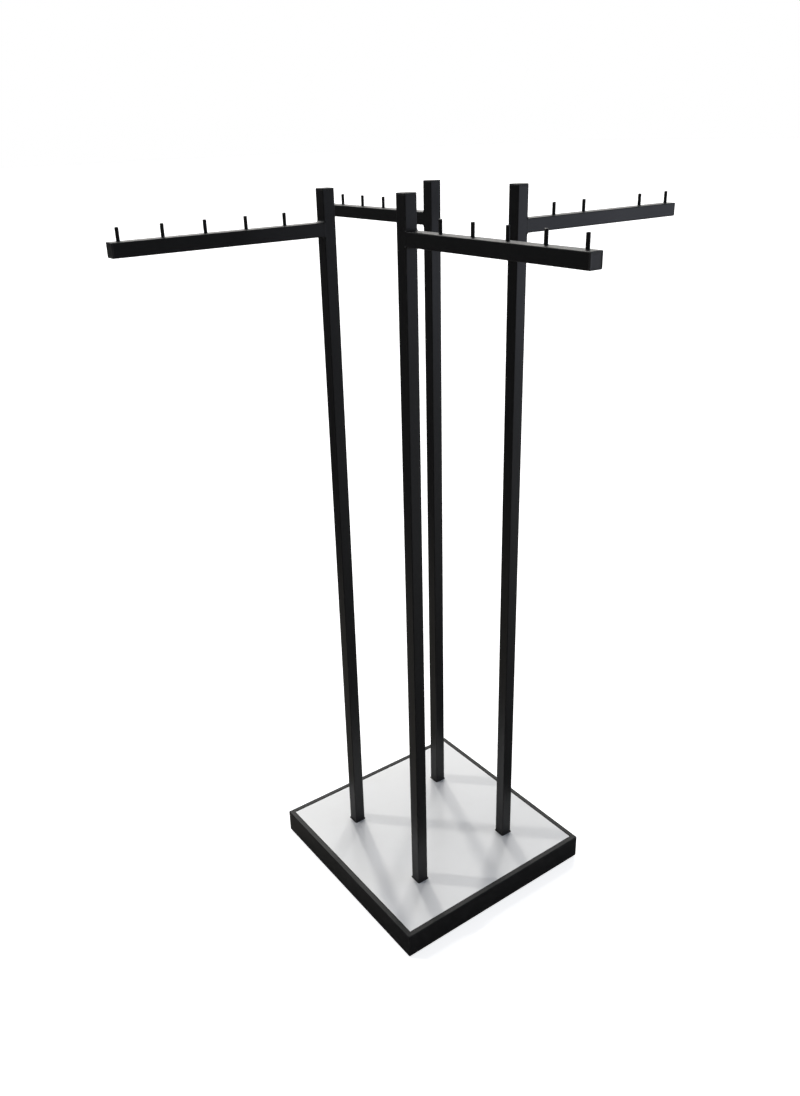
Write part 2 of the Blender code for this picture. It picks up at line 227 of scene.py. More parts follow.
def plug_grid(top):
    """A square plug with its face at the top: skirt, flange, a rounded edge and a shallow dished face.

    Each row is the tube's outline drawn in by a given amount and set at a given height.
    """
    skirt = TUBE_WALL + 0.3 * MM
    flange = 3.0 * MM
    edge_radius = 1.1 * MM
    curve = fillet()
    drawn_in = [skirt + 0.4 * MM, skirt, skirt, 0.25 * MM, 0, 0]
    below = [12.6 * MM, 12.2 * MM, flange, flange, flange - 0.25 * MM, edge_radius + 0.2 * MM]
    drawn_in += list(edge_radius * curve[:, 0])
    below += list(edge_radius * (1 - curve[:, 1]))
    drawn_in += [edge_radius + 0.3 * MM, 2.5 * MM, 2.7 * MM, 3.2 * MM, 3.5 * MM, 6.0 * MM]
    below += [0, 0, 0.04 * MM, 0.34 * MM, 0.38 * MM, 0.38 * MM]
    rows = []
    worn_and_highlit = []
    for inward in drawn_in:
        radius = max(TUBE_RADIUS - inward, 0.35 * MM)
        points, corner = outline(TUBE - 2 * inward, TUBE - 2 * inward, radius, hold=0.2 * MM)
        rows.append(points)
        worn_and_highlit.append(corner * (inward < edge_radius))
    on_fillet = (np.array(drawn_in) > 0.05 * MM) & (np.array(drawn_in) < edge_radius)
    edge = np.maximum(np.array(worn_and_highlit), 0.8 * on_fillet[:, None])
    return stacked(rows, top - np.array(below)), edge


def revolved(profile, steps=24):
    """A solid of revolution about z from (radius, height) pairs, bottom to top."""
    profile = np.array(profile)
    angle = np.linspace(0, 2 * math.pi, steps, endpoint=False)
    ring = np.stack([np.cos(angle), np.sin(angle)], -1)
    return stacked(profile[:, :1, None] * ring, profile[:, 1])


def peg_grid(radius, bottom, arm_top, top):
    """A round peg: up from inside the arm, a small flare of weld at the arm's face, a rounded-over end."""
    flare = 1.3 * MM
    over = 1.2 * MM
    curve = fillet(6)
    profile = [(radius, bottom), (radius, arm_top - 0.6 * MM), (radius + flare, arm_top - 0.2 * MM)]
    profile += [(radius + flare * (1 - up), arm_top + flare * back) for back, up in curve]
    profile += [(radius, arm_top + flare * 1.25), (radius, top - over * 1.2)]
    profile += [(radius - over * back, top - over * (1 - up)) for back, up in curve]
    profile += [(radius * 0.3, top + 0.02 * MM)]
    grid = revolved(profile)
    heights = np.array(profile)[:, 1]
    near_end = np.exp(-(((heights - top + over / 2) / over) ** 2))
    return grid, np.repeat(near_end[:, None], grid.shape[1], 1)


def build_uprights():
    """Four uprights with their plugs: the right-hand one's grid, turned."""
    tube, tube_edge = tube_grid(UPRIGHT_LOW[2], UPRIGHT_HIGH[2] + 0.2 * MM)
    plug, plug_edge = plug_grid(TOP_OF_PLUG)
    for turn, side in enumerate(SIDES):
        own_tube = turned(tube + AXIS, turn)
        name = f"upright_tube_{side}"
        rings(name, own_tube, "root", "black_powder_coat", [f"upright_{side}"], True, tube_edge)
        own_plug = turned(plug + AXIS, turn)
        name = f"upright_top_plug_{side}"
        rings(name, own_plug, "root", "black_plastic", [f"upright_plug_{side}"], edge=plug_edge)


def build_arms():
    """Four arms with their end plugs, laid along x for the right-hand side and turned."""
    tube, tube_edge = tube_grid(ARM_LOW[0] - 0.2 * MM, ARM_HIGH[0] + 0.2 * MM)
    plug, plug_edge = plug_grid(END_OF_ARM)
    for turn, side in enumerate(SIDES):
        own_tube = turned(laid_along_x(tube) + ARM_LINE, turn)
        name = f"arm_tube_{side}"
        rings(name, own_tube, "root", "black_powder_coat", [f"arm_{side}"], True, tube_edge)
        own_plug = turned(laid_along_x(plug) + ARM_LINE, turn)
        name = f"arm_end_plug_{side}"
        rings(name, own_plug, "root", "black_plastic", [f"arm_plug_{side}"], edge=plug_edge)


def build_pegs():
    """One rounded rod for each peg that the frame holds."""
    for node in sorted(frame["nodes"]):
        if not node.startswith("peg_"):
            continue
        low, high = box(node)
        grid, edge = peg_grid((high[0] - low[0]) / 2, low[2], ARM_HIGH[2], high[2])
        own = grid + footprint(node)
        rings(node.replace("peg_", "peg_rod_"), own, "root", "black_powder_coat", [node], edge=edge)


def arm_weld_grid():
    """The weld between the right-hand upright and its arm, all round the arm's outline.

    Across the joint, the surface goes from the upright's face to the arm's as a hollow quarter circle.
    Its size is the full fillet above and below the arm, where the outline faces up or down, and fades to
    a low ground-down band at the two sides, where arm and upright are flush. On the sides it starts
    further back, by as much as the upright's rounded corner draws away.
    """
    fillet_size, band, band_height = 4.2 * MM, 1.8 * MM, 0.10 * MM
    section, _ = outline(TUBE, TUBE, TUBE_RADIUS, steps=8)
    count = len(section)
    outward = outward_of(section)
    upward = np.clip(np.abs(outward[:, 1]), 0, 1)
    full = upward**2 * (3 - 2 * upward)
    phase = np.arange(count) / count * 2 * math.pi
    size = fillet_size * full * (1 + ripple(phase * 5, 2, 0.05))
    reach = size + band * (1 - full)
    height = size + band_height * (1 - full)
    across = np.linspace(0, 1, 11)
    angle = across * math.pi / 2
    hollow = 1 - np.sin(angle)
    level = np.sin(across * math.pi)
    rise = full[None, :] * hollow[:, None] * height + (1 - full)[None, :] * level[:, None] * height
    sideways = np.abs(section[:, 0])[None, :] + np.abs(outward[:, 0]) * rise
    past_corner = np.clip(sideways - (HALF_TUBE - TUBE_RADIUS), 0, TUBE_RADIUS)
    draw_back = TUBE_RADIUS - np.sqrt(np.maximum(TUBE_RADIUS**2 - past_corner**2, 0))
    lap = 0.5 * MM
    start = -draw_back - lap * (1 - full)
    advance = full[None, :] * (1 - np.cos(angle))[:, None] + (1 - full)[None, :] * across[:, None]
    along = start * (1 - advance) + reach * advance
    under = -0.7 * MM
    rise = np.concatenate([np.full((1, count), under), rise, np.full((1, count), under)])
    along = np.concatenate([along[:1] - 0.2 * MM, along, along[-1:]])
    points = section[None] + outward[None] * rise[..., None]
    face = UPRIGHT_HIGH[0]
    return np.stack([face + along, points[..., 0], points[..., 1]], -1)


def build_arm_welds():
    """The joint of each arm to its upright, filled and painted over."""
    grid = arm_weld_grid() + ARM_LINE
    for turn, side in enumerate(SIDES):
        name = f"arm_weld_{side}"
        rings(name, turned(grid, turn), "root", "black_powder_coat", wrap_rows=True, sharp=60)


# ---------------------------------------------------------------- base


def rim_side_grid():
    """The right-hand side of the rim: its upright section carried along y, rounding each corner by half.

    A point of the section at depth d in from the outer face runs straight at x = half width - d. At each
    end it turns an eighth of a circle of radius (corner radius - d), or meets the mitre square if d is
    more than the corner radius. The two sides of a mitre stand a hair apart.
    """
    width = RIM_HIGH[0] - RIM_LOW[0]
    height = RIM_HIGH[2] - RIM_LOW[2]
    half = RIM_HIGH[0]
    corner_radius = 2.0 * MM
    turn_steps = 5
    section, corner = outline(width, height, corner_radius)
    depth = width / 2 - section[:, 0]
    level = (RIM_LOW[2] + RIM_HIGH[2]) / 2 + section[:, 1]
    swing = np.linspace(0, math.pi / 4, turn_steps + 1)[:, None]
    left_over = np.maximum(corner_radius - depth, 0)
    too_deep = np.maximum(depth - corner_radius, 0)
    centre = half - corner_radius
    ease = (swing / (math.pi / 4)) ** 0.5
    spread, mitre, hold = 0.3 * MM, 0.03 * MM, 1.5 * MM
    x_end = centre + left_over * np.cos(swing) - too_deep
    y_end = centre + left_over * np.sin(swing) - too_deep - spread * (1 - ease) * (too_deep > 0)
    y_end = y_end - mitre * ease
    straight_y = np.array([centre - hold, 0.0])[:, None] + 0 * depth
    straight_y[0] -= too_deep
    x_half = np.concatenate([x_end[::-1], np.repeat((half - depth)[None], 2, 0)])
    y_half = np.concatenate([y_end[::-1], straight_y])
    x = np.concatenate([x_half, x_half[-2::-1]])
    y = np.concatenate([y_half, -y_half[-2::-1]])
    edge = np.repeat(corner[None], len(x), 0)
    # The rim's outer mitre corners are marked as edge too: the coat lightens them as wear and as a painted
    # highlight.
    outermost = 0.9 * (depth < 0.3 * MM)
    edge[:turn_steps] = np.maximum(edge[:turn_steps], outermost)
    edge[-turn_steps:] = np.maximum(edge[-turn_steps:], outermost)
    return np.stack([x, y, np.broadcast_to(level, x.shape)], -1), edge


def build_rim():
    """Four rim sides: the right-hand one's grid, turned."""
    grid, edge = rim_side_grid()
    for turn, side in enumerate(SIDES):
        own = turned(grid, turn)
        rings(f"rim_side_{side}", own, "root", "black_powder_coat", [f"rim_{side}"], edge=edge)


def build_rails():
    """The two rails under the panel, laid along y."""
    grid, edge = tube_grid(RAIL_LOW[1], RAIL_HIGH[1])
    lying = np.stack([grid[..., 0], grid[..., 2], grid[..., 1]], -1)
    for side in ("right", "left"):
        own = lying + np.array([middle(f"cross_rail_{side}")[0], 0, middle("cross_rail_right")[2]])
        rings(f"rail_tube_{side}", own, "root", "black_powder_coat", [f"cross_rail_{side}"], True, edge)


def foot_seal_grid():
    """A bead of sealant round the right-hand upright, where it goes through the panel.

    A hollow quarter circle from the panel to the tube, whose size wanders a little round the tube.
    """
    section, _ = outline(TUBE, TUBE, TUBE_RADIUS, steps=8)
    outward = outward_of(section)
    count = len(section)
    phase = np.arctan2(section[:, 1], section[:, 0])
    size = 2.2 * MM * (1 + ripple(phase, 4, 0.16) + ripple(phase, 9, 0.08))
    out, up = hollow_quarter(size)
    in_tube = np.full((1, count), -0.4 * MM)
    in_panel = np.full((1, count), -0.5 * MM)
    out = np.concatenate([in_tube, out, in_tube])
    up = np.concatenate([in_panel, up, up[-1:]])
    points = section[None] + outward[None] * out[..., None]
    return np.stack([points[..., 0], points[..., 1], PANEL_TOP + up], -1)


def build_foot_seals():
    """Four beads of sealant: the right-hand one's grid, turned."""
    grid = foot_seal_grid() + AXIS
    for turn, side in enumerate(SIDES):
        rings(f"foot_seal_{side}", turned(grid, turn), "root", "black_plastic", wrap_rows=True, sharp=60)


# ---------------------------------------------------------------- hardware


def polygon(flats, sides, angle):
    """Distance from a polygon's middle to its edge at each angle: half its flats / cos(angle off a flat)."""
    sector = 2 * math.pi / sides
    off_flat = (angle + sector / 2) % sector - sector / 2
    return flats / 2 / np.cos(off_flat)


def round_rows(profile, radius_at):
    """Rings about z. Row i has the radius that radius_at gives for the profile's i-th (radius, height)."""
    profile = np.array(profile)
    angle = np.linspace(0, 2 * math.pi, HARDWARE_STEPS, endpoint=False)
    radius = radius_at(profile[:, :1], profile[:, 1:], angle[None])
    height = np.broadcast_to(profile[:, 1:], radius.shape)
    return np.stack([radius * np.cos(angle), radius * np.sin(angle), height], -1)


def threaded(radius, height, angle, pitch, depth, start, end):
    """A thread's radius: a rounded V that climbs one pitch a turn and fades out at both ends."""
    phase = (height - start) / pitch - angle / (2 * math.pi)
    valley = (0.5 + 0.5 * np.cos(2 * math.pi * phase)) ** 1.4
    ends = np.clip((height - start) / pitch, 0, 1) * np.clip((end - height) / (0.6 * pitch) + 0.25, 0, 1)
    return radius - depth * valley * ends


def thread_heights(start, end, pitch):
    """Heights along a thread, eight to a turn."""
    return np.linspace(start, end, round((end - start) / pitch * 8) + 1)


def foot_pad_grid():
    """A levelling foot's pad: a ribbed disc under a hexagon collar.

    The disc's radius is drawn in at each of its grooves, a narrow cosine valley, and the collar's is a
    hexagon cut off by a rising chamfer circle.
    """
    rib_count, rib_depth = 18, 0.7 * MM
    rib_middle, rib_half, ribbed_from = 2.4 * MM, 1.9 * MM, 13 * MM
    collar_flats, collar_from = 14.0 * MM, 5.2 * MM
    disc = [(11.5, 0.0), (13.9, 0.0), (14.5, 0.25), (15.0, 0.8), (15.0, 1.1), (15.0, 3.7), (15.0, 4.0)]
    disc += [(14.5, 4.6), (13.6, 4.95), (12.6, 5.05), (9.6, 5.1), (9.0, 5.15)]
    collar = [(8.7, 5.3), (8.6, 5.5), (8.6, 7.6), (8.2, 7.9), (7.6, 8.15), (6.7, 8.3), (5.6, 8.3)]
    collar += [(5.4, 8.1), (4.2, 8.1)]

    def radius_at(radius, height, angle):
        groove = (0.5 + 0.5 * np.cos(angle * rib_count)) ** 3
        side = np.exp(-(((height - rib_middle) / rib_half) ** 4))
        ribbed = radius - rib_depth * groove * side * (radius > ribbed_from)
        hexagon = np.minimum(radius, polygon(collar_flats, 6, angle))
        return np.where(height > collar_from, hexagon, ribbed)

    return round_rows(np.array(disc + collar) * MM, radius_at)


def foot_stem_grid(bottom, top):
    """A levelling foot's stem: an 8 mm rod with a 1.25 mm thread."""
    radius, pitch, depth = 4.0 * MM, 1.25 * MM, 0.55 * MM
    heights = thread_heights(bottom + 1.5 * MM, top - 0.7 * MM, pitch)
    profile = [(radius, bottom), (radius, bottom + 0.7 * MM)] + [(radius, height) for height in heights]
    profile += [(radius - 0.5 * MM, top - 0.15 * MM), (radius - 0.9 * MM, top), (0.6 * MM, top)]

    def radius_at(radius, height, angle):
        return threaded(radius, height, angle, pitch, depth, heights[0], heights[-1])

    return round_rows(profile, radius_at)


def build_feet():
    """Each corner's pad and stem, on the body that its own thread moves."""
    stem_bottom = 7.0 * MM  # inside the pad's collar
    for corner in CORNERS:
        node = f"foot_{corner}"
        low, high = box(node)
        place = footprint(node) + [0, 0, low[2]]
        rings(f"foot_pad_{corner}", foot_pad_grid() + place, node, "black_nylon", [node])
        stem = foot_stem_grid(stem_bottom, high[2] - low[2]) + place
        rings(f"foot_stem_{corner}", stem, node, "zinc_steel")


def bolt_grid(seat, tip):
    """A flange bolt, head down, its flange under the seat and its shank up to the tip.

    The head is a hexagon cut off by a chamfer cone, with a shallow dish in its end.
    """
    flats, shank, pitch, depth = 15.0 * MM, 4.85 * MM, 1.5 * MM, 0.6 * MM
    flange, head_height = 2.5 * MM, 9 * MM
    head = [(3.0, 8.0), (5.2, 8.0), (5.6, 8.15), (6.6, 8.2), (7.4, 8.05), (8.1, 7.6), (8.7, 7.1)]
    head += [(8.7, 2.7), (8.8, 2.4), (9.6, 1.9), (10.2, 1.5), (10.5, 1.1), (10.5, 0.5), (10.3, 0.1)]
    head += [(9.9, 0.0), (5.3, 0.0)]
    profile = [(radius * MM, seat - below * MM) for radius, below in head]
    heights = thread_heights(seat + 22 * MM, tip - 0.9 * MM, pitch)
    profile += [(shank, seat + 0.3 * MM), (shank, seat + 21 * MM)] + [(shank, height) for height in heights]
    profile += [(shank - 0.7 * MM, tip), (0.8 * MM, tip)]

    def radius_at(radius, height, angle):
        in_head = (height < seat - flange) & (height > seat - head_height)
        hexagon = np.minimum(radius, polygon(flats, 6, angle))
        thread = threaded(radius, height, angle, pitch, depth, heights[0], heights[-1])
        return np.where(in_head, hexagon, np.where(height > heights[0], thread, radius))

    return round_rows(profile, radius_at)


def screw_grid(seat, tip):
    """A pan-head wood screw, head down, with a cross recess.

    The recess lifts the head's face where the point lies inside either arm of the cross, its walls
    leaning in towards the middle.
    """
    face = [(0.15, 2.6), (0.5, 2.6), (0.8, 2.6), (1.1, 2.6), (1.4, 2.6), (1.7, 2.6), (2.0, 2.58), (2.3, 2.55)]
    face += [(2.7, 2.5), (3.2, 2.35)]
    dome = [(3.7, 2.05), (4.1, 1.6), (4.35, 1.0), (4.5, 0.4), (4.45, 0.1), (4.2, 0.0), (2.2, 0.0)]
    profile = [(radius * MM, seat - below * MM) for radius, below in face + dome]
    shank, pitch, depth = 2.0 * MM, 1.8 * MM, 0.55 * MM
    heights = thread_heights(seat + 18 * MM, tip - 3.2 * MM, pitch)
    profile += [(shank, seat + 0.3 * MM), (shank, seat + 17 * MM)] + [(shank, height) for height in heights]
    profile += [(1.5 * MM, tip - 2.2 * MM), (0.8 * MM, tip - 0.9 * MM), (0.15 * MM, tip)]

    def radius_at(radius, height, angle):
        thread = threaded(radius, height, angle, pitch, depth, heights[0], heights[-1])
        return np.where((height > heights[0]) & (height < heights[-1]), thread, radius)

    grid = round_rows(profile, radius_at)
    half_arm, half_long, deep = 0.45 * MM, 2.3 * MM, 1.5 * MM
    wall_lean, end_lean = 0.25 * MM, 1.2 * MM
    x, y = np.abs(grid[: len(face), :, 0]), np.abs(grid[: len(face), :, 1])
    arm, along = np.minimum(x, y), np.maximum(x, y)
    inside = np.clip((half_arm - arm) / wall_lean, 0, 1) * np.clip((half_long - along) / end_lean, 0, 1)
    grid[: len(face), :, 2] += deep * inside
    return grid


def build_bolts_and_screws():
    """A bolt up into each upright and a screw up into the panel, all seated under the rails."""
    seat = RAIL_LOW[2] - GAP
    for side in SIDES:
        node = f"upright_bolt_{side}"
        grid = bolt_grid(seat, box(node)[1][2]) + footprint(node)
        rings(f"flange_bolt_{side}", grid, "root", "zinc_steel", [node], sharp=35)
    for side in ("right", "left"):
        node = f"panel_screw_{side}"
        grid = screw_grid(seat, box(node)[1][2]) + footprint(node)
        rings(f"cross_head_screw_{side}", grid, "root", "zinc_steel", [node], sharp=35)


def rail_weld_grid():
    """The weld between the right-hand rail's back end and the rim: a hollow quarter circle round the tube.

    Its size wanders a little along its run, and fades to nothing on top, where the panel lies.
    """
    section, _ = outline(TUBE, TUBE, TUBE_RADIUS, steps=8)
    outward = outward_of(section)
    clear_of_panel = 1 - np.clip(outward[:, 1], 0, 1)
    phase = np.arctan2(section[:, 1], section[:, 0])
    size = 3.0 * MM * (1 + ripple(phase, 11, 0.10) + ripple(phase, 3, 0.08)) * clear_of_panel
    out, along = hollow_quarter(size)
    under = np.full((1, len(section)), -0.5 * MM)
    out = np.concatenate([under, out, under])
    along = np.concatenate([along[:1], along, along[-1:]])
    points = section[None] + outward[None] * out[..., None]
    place = np.array([middle("cross_rail_right")[0], 0, middle("cross_rail_right")[2]])
    wall = RAIL_HIGH[1] + 0.2 * MM
    return np.stack([points[..., 0], wall - along, points[..., 1]], -1) + place


def build_rail_welds():
    """Both ends of both rails: the first grid, and its mirror images across x, across y and across both."""
    grid = rail_weld_grid()
    for side, across in (("right", 1), ("left", -1)):
        for end, along in (("back", 1), ("front", -1)):
            own = grid * [across, along, 1]
            rings(f"rail_weld_{side}_{end}", own, "root", "black_powder_coat", wrap_rows=True, sharp=60)


# ---------------------------------------------------------------- finishes


class Value:
    """A number or colour in a finish's nodes, so that formulas on it read as arithmetic."""

    def __init__(self, nodes, socket):
        self.nodes = nodes
        self.socket = socket

    def maths(self, operation, first, second):
        return self.nodes.node("ShaderNodeMath", {"operation": operation}, {0: first, 1: second})

    def __add__(self, other):
        return self.maths("ADD", self, other)

    def __radd__(self, other):
        return self.maths("ADD", other, self)

    def __sub__(self, other):
        return self.maths("SUBTRACT", self, other)

    def __rsub__(self, other):
        return self.maths("SUBTRACT", other, self)

    def __mul__(self, other):
        return self.maths("MULTIPLY", self, other)

    def __rmul__(self, other):
        return self.maths("MULTIPLY", other, self)


class Nodes:
    """A node tree that is added to by plain calls."""

    def __init__(self, tree):
        self.tree = tree

    def node(self, kind, settings, sockets, output=0):
        """A node of that kind, its settings made before its sockets are filled or linked."""
        made = self.tree.nodes.new(kind)
        for setting, value in settings.items():
            setattr(made, setting, value)
        for socket, value in sockets.items():
            if isinstance(value, Value):
                self.tree.links.new(value.socket, made.inputs[socket])
            else:
                made.inputs[socket].default_value = value
        return Value(self, made.outputs[output])

    def between(self, value, low, high, to_low=0.0, to_high=1.0):
        """A smooth step: to_low where the value is under low, to_high where it is over high."""
        sockets = {"Value": value, "From Min": low, "From Max": high, "To Min": to_low, "To Max": to_high}
        return self.node("ShaderNodeMapRange", {"interpolation_type": "SMOOTHSTEP"}, sockets)

    def mixed(self, factor, first, second):
        """A colour between two, by the factor."""
        sockets = {0: factor, 6: first, 7: second}
        return self.node("ShaderNodeMix", {"data_type": "RGBA"}, sockets, output=2)


class Finish(Nodes):
    """A material being made: its Principled shader takes constants, its nodes come from node()."""

    def __init__(self, name, constants):
        self.material = bpy.data.materials.new(name)
        self.material.use_nodes = True
        super().__init__(self.material.node_tree)
        self.shader = self.tree.nodes["Principled BSDF"]
        for socket, value in constants.items():
            self.shader.inputs[socket].default_value = value
        self.place = self.node("ShaderNodeTexCoord", {}, {}, output="Object")

    def noise(self, scale, detail=2.0, roughness=0.5, stretch=None):
        """Noise over the object's own coordinates: scale is in lumps per metre."""
        place = self.place
        if stretch is not None:
            place = self.node("ShaderNodeVectorMath", {"operation": "MULTIPLY"}, {0: place, 1: stretch})
        sockets = {"Vector": place, "Scale": scale, "Detail": detail, "Roughness": roughness}
        return self.node("ShaderNodeTexNoise", {}, sockets)

    def edge(self):
        """How far this point is on a rounded edge, which the coat lightens as wear and as a painted
        highlight, from the piece's own attribute.
        """
        settings = {"attribute_name": "edge", "attribute_type": "GEOMETRY"}
        return self.node("ShaderNodeAttribute", settings, {}, output="Fac")

    def facing_up(self):
        """How much the surface faces up, -1 to 1."""
        geometry = self.node("ShaderNodeNewGeometry", {}, {}, output="Normal")
        return self.node("ShaderNodeSeparateXYZ", {}, {0: geometry}, output="Z")

    def height(self):
        """Height above the floor at rest, from the object's own coordinates."""
        return self.node("ShaderNodeSeparateXYZ", {}, {0: self.place}, output="Z")

    def bump(self, height, distance, strength=1.0, under=None):
        """A bumped normal from a height of 0 to 1 that stands for so many metres."""
        sockets = {"Height": height, "Distance": distance, "Strength": strength}
        if under is not None:
            sockets["Normal"] = under
        return self.node("ShaderNodeBump", {}, sockets)

    def paint(self, **sockets):
        for name, value in sockets.items():
            self.tree.links.new(value.socket, self.shader.inputs[name.replace("_", " ")])
        return self.material


def gray(level, tint=(1.0, 1.0, 1.0)):
    return (level * tint[0], level * tint[1], level * tint[2], 1.0)


DUSTY = (1.0, 0.98, 0.95)
COLD_BLACK = (1.0, 1.0, 1.06)
COOL_WHITE = (0.985, 0.99, 1.0)


def black_powder_coat():
    """Satin black powder coat: fine orange peel, edges lightened in patches as wear and partly as a painted
    highlight, and dust on top faces.

    Low down, where shoes reach it, it is duller and faintly scuffed, with grit along the rim's foot.
    """
    coat = Finish("satin_black_powder_coat", {"Specular IOR Level": 0.335})
    cloud = coat.noise(14, 4.0, 0.6)
    peel = coat.noise(620, 2.0, 0.45)
    grain = coat.noise(2600, 2.0, 0.6)
    smear = coat.noise(9, 3.0, 0.55, stretch=(1.0, 1.0, 0.22))
    dust = coat.between(coat.facing_up(), 0.6, 0.95) * coat.between(coat.noise(160, 5.0, 0.7), 0.45, 0.75)
    low = coat.between(coat.height(), 45 * MM, 75 * MM, 1.0, 0.0)
    grit = low * coat.between(coat.noise(430, 6.0, 0.75), 0.50, 0.68)
    kicked = coat.between(coat.height(), 60 * MM, 190 * MM, 1.0, 0.0)
    scuff = kicked * coat.between(coat.noise(38, 5.0, 0.7, stretch=(1.0, 1.0, 1.8)), 0.50, 0.72)
    # Painted highlight and wear: rounded edges lightened in patches towards a pale grey.
    edge_wear_and_highlight = coat.edge() * coat.between(coat.noise(75, 5.0, 0.7), 0.52, 0.72)
    shade = coat.mixed(cloud, gray(0.0030, COLD_BLACK), gray(0.0054, COLD_BLACK))
    shade = coat.mixed(edge_wear_and_highlight * 0.35, shade, gray(0.030, (1.0, 0.99, 0.98)))
    shade = coat.mixed(dust * 0.06, shade, gray(0.20, DUSTY))
    shade = coat.mixed(grit * 0.20, shade, gray(0.085, (1.0, 0.97, 0.92)))
    shade = coat.mixed(scuff * 0.10, shade, gray(0.050, DUSTY))
    rough = 0.27 + 0.10 * smear + 0.05 * peel + 0.05 * edge_wear_and_highlight + 0.15 * dust + 0.15 * grit + 0.20 * kicked
    relief = coat.bump(grain, 0.03 * MM, 0.5, coat.bump(peel, 0.10 * MM, 0.55))
    return coat.paint(Base_Color=shade, Roughness=rough, Normal=relief)


def black_plastic():
    """Moulded black plastic, a shade duller than the coat, with a fine spark-eroded grain."""
    plastic = Finish("moulded_black_plastic", {"Specular IOR Level": 0.38})
    grain = plastic.noise(3400, 3.0, 0.65)
    cloud = plastic.noise(60, 3.0, 0.5)
    dust = plastic.between(plastic.facing_up(), 0.6, 0.95) * plastic.between(cloud, 0.4, 0.7)
    shade = plastic.mixed(cloud, gray(0.0070), gray(0.0110))
    shade = plastic.mixed(dust * 0.06, shade, gray(0.18, DUSTY))
    rough = 0.34 + 0.10 * cloud + 0.05 * plastic.noise(900)
    return plastic.paint(Base_Color=shade, Roughness=rough, Normal=plastic.bump(grain, 0.04 * MM, 0.6))


def black_nylon():
    """Matt black nylon of the feet, scuffed and greyed towards the floor."""
    nylon = Finish("matt_black_nylon", {"Specular IOR Level": 0.35})
    low = nylon.between(nylon.height(), 0.0, 5 * MM, 1.0, 0.0)
    scuff = low * nylon.between(nylon.noise(420, 4.0, 0.7), 0.4, 0.65)
    shade = nylon.mixed(nylon.noise(90, 3.0), gray(0.011), gray(0.017))
    shade = nylon.mixed(scuff * 0.5, shade, gray(0.07, (1.0, 0.97, 0.93)))
    rough = 0.55 + 0.2 * scuff
    relief = nylon.bump(nylon.noise(1800, 3.0, 0.6), 0.05 * MM, 0.6)
    return nylon.paint(Base_Color=shade, Roughness=rough, Normal=relief)


def white_laminate():
    """The base panel: satin white laminate above, black edging, bare particle board below."""
    board = Finish("white_laminated_board", {"Specular IOR Level": 0.7, "Coat Roughness": 0.10})
    up = board.facing_up()
    face = board.between(up, 0.5, 0.8)
    under = board.between(up, -0.8, -0.5, 1.0, 0.0)
    cloud = board.noise(5, 4.0, 0.55)
    fleck = board.noise(240, 5.0, 0.7)
    grime = board.between(board.noise(26, 4.0, 0.55), 0.45, 0.85)
    white = board.mixed(cloud, gray(0.685, COOL_WHITE), gray(0.740, COOL_WHITE))
    white = board.mixed(grime * 0.10, white, gray(0.55, (1.0, 0.98, 0.94)))
    chips = board.mixed(fleck, (0.20, 0.13, 0.075, 1.0), (0.42, 0.30, 0.19, 1.0))
    shade = board.mixed(under, board.mixed(face, gray(0.02), white), chips)
    smear = board.noise(6, 3.0, 0.5, stretch=(1.0, 2.2, 1.0))
    rough = face * (0.24 + 0.12 * smear) + (1 - face) * 0.6
    fine = board.bump(board.noise(1500, 2.0, 0.5), 0.015 * MM, 0.3)
    return board.paint(Base_Color=shade, Roughness=rough, Coat_Weight=face * 0.5, Normal=fine)


def zinc_steel():
    """Bright zinc plate on bolts, screws and inserts, slightly yellowed in patches."""
    zinc = Finish("bright_zinc_plate", {"Metallic": 1.0})
    patch = zinc.between(zinc.noise(130, 4.0, 0.6), 0.35, 0.7)
    shade = zinc.mixed(patch, (0.52, 0.53, 0.55, 1.0), (0.60, 0.58, 0.50, 1.0))
    scratch = zinc.noise(700, 3.0, 0.6, stretch=(1.0, 1.0, 0.15))
    rough = 0.26 + 0.18 * patch + 0.12 * scratch
    return zinc.paint(Base_Color=shade, Roughness=rough, Normal=zinc.bump(scratch, 0.03 * MM, 0.4))


FINISHES = {
    "black_powder_coat": black_powder_coat(),
    "black_plastic": black_plastic(),
    "black_nylon": black_nylon(),
    "white_laminate": white_laminate(),
    "zinc_steel": zinc_steel(),
}


def finish_kept_nodes():
    """Each node that stays takes the finish of its slot in the record."""
    for entry in frame["record"]["subparts"]:
        mesh = frame["nodes"][entry["node"]].data
        mesh.materials.clear()
        mesh.materials.append(FINISHES[entry["material_slot"]])


# ---------------------------------------------------------------- studio


def place_camera():
    """A standing person's view from beyond the front right corner, slightly tipped to the right."""
    eye = np.array([1.43773, -1.10438, 1.62130])
    forward = np.array([-0.75323, 0.52357, -0.39814])
    tip = math.radians(1.915)
    forward /= np.linalg.norm(forward)
    level = np.cross(forward, [0, 0, 1])
    level /= np.linalg.norm(level)
    down = np.cross(forward, level)
    right = math.cos(tip) * level + math.sin(tip) * down
    up = np.cross(right, forward)
    data = bpy.data.cameras.new("camera")
    data.lens = 30.727
    data.sensor_width = 36.0
    data.shift_x = 0.01435
    data.shift_y = -0.01381
    data.clip_start = 0.05
    data.clip_end = 200.0
    camera = bpy.data.objects.new("camera", data)
    bpy.context.scene.collection.objects.link(camera)
    turn = np.eye(4)
    turn[:3, 0], turn[:3, 1], turn[:3, 2], turn[:3, 3] = right, up, -forward, eye
    camera.matrix_world = Matrix(turn.tolist())
    bpy.context.scene.camera = camera


def lamp(name, heading, elevation, strength, spread, color):
    """A distant soft lamp, at a heading from +X towards +Y and an elevation, both in degrees."""
    data = bpy.data.lights.new(name, "SUN")
    data.energy = strength
    data.angle = math.radians(spread)
    data.color = color
    light = bpy.data.objects.new(name, data)
    bpy.context.scene.collection.objects.link(light)
    light.rotation_euler = (0, math.radians(90 - elevation), math.radians(heading))


